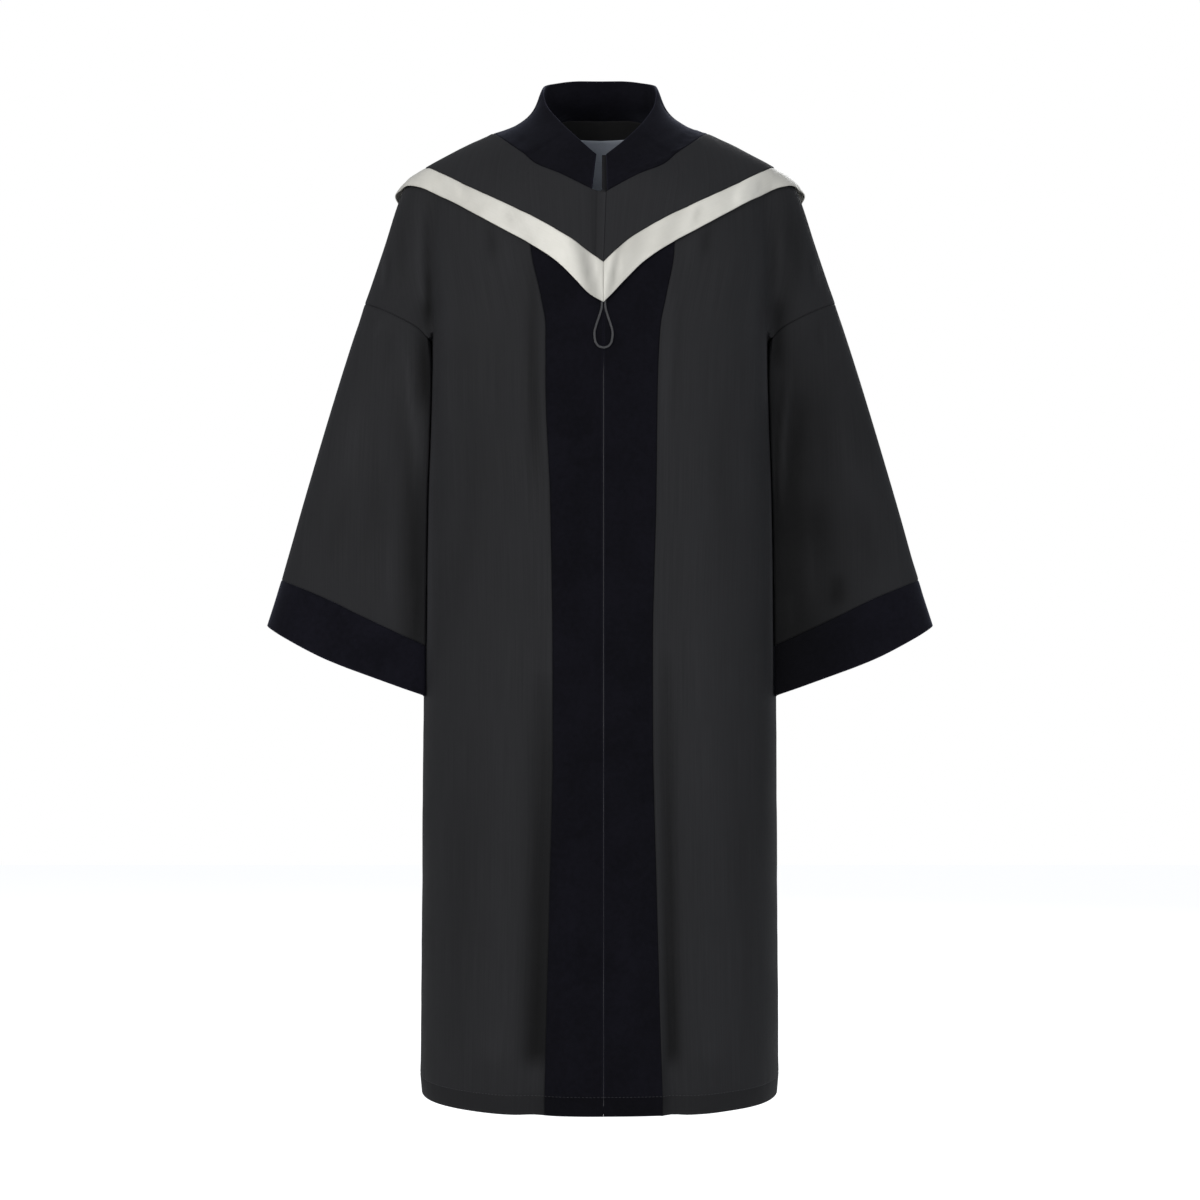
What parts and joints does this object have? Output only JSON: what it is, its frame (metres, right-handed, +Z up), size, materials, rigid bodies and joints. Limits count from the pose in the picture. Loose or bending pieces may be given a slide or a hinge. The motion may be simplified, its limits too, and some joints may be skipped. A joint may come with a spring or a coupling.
{
  "type": "graduation gown",
  "caption": "Long hollow graduation gown with velvet fronts and cuffs, a stand collar, a satin-edged shoulder cape and open bell sleeves.",
  "frame": {"origin": "between the shoulders at the base of the neck, level with the points where the collar seam crosses the shoulder line", "axes": "+Z up along the gown, -Y out of the front, +X towards the wearer's left"},
  "size_m": [0.7978, 0.3549, 1.2205],
  "materials": {
    "charcoal_suiting": "fine smooth matt weave",
    "blue_black_velvet": "short pile velvet",
    "ivory_satin": "soft satin sheen",
    "neck_facing_cloth": "matt lining",
    "label_cloth": "bare woven label",
    "zip_tape": "woven tape",
    "cord": "twisted cord",
    "dark_metal": "dark, smooth"
  },
  "bodies": {
    "root": {"velvet_front_right": "blue_black_velvet", "velvet_front_left": "blue_black_velvet", "front_right": "charcoal_suiting", "front_left": "charcoal_suiting", "back": "charcoal_suiting", "sleeve_right": "charcoal_suiting", "sleeve_left": "charcoal_suiting", "cuff_right": "blue_black_velvet", "cuff_left": "blue_black_velvet", "cape_front_right": "charcoal_suiting", "cape_front_left": "charcoal_suiting", "cape_back": "charcoal_suiting", "satin_band_right": "ivory_satin", "satin_band_left": "ivory_satin", "satin_band_back": "ivory_satin", "collar": "blue_black_velvet", "neck_facing": "neck_facing_cloth", "label": "label_cloth", "zip_tape_right": "zip_tape", "zip_tape_left": "zip_tape", "zip_slider": "dark_metal", "cord_loop": "cord"}
  },
  "joints": []
}
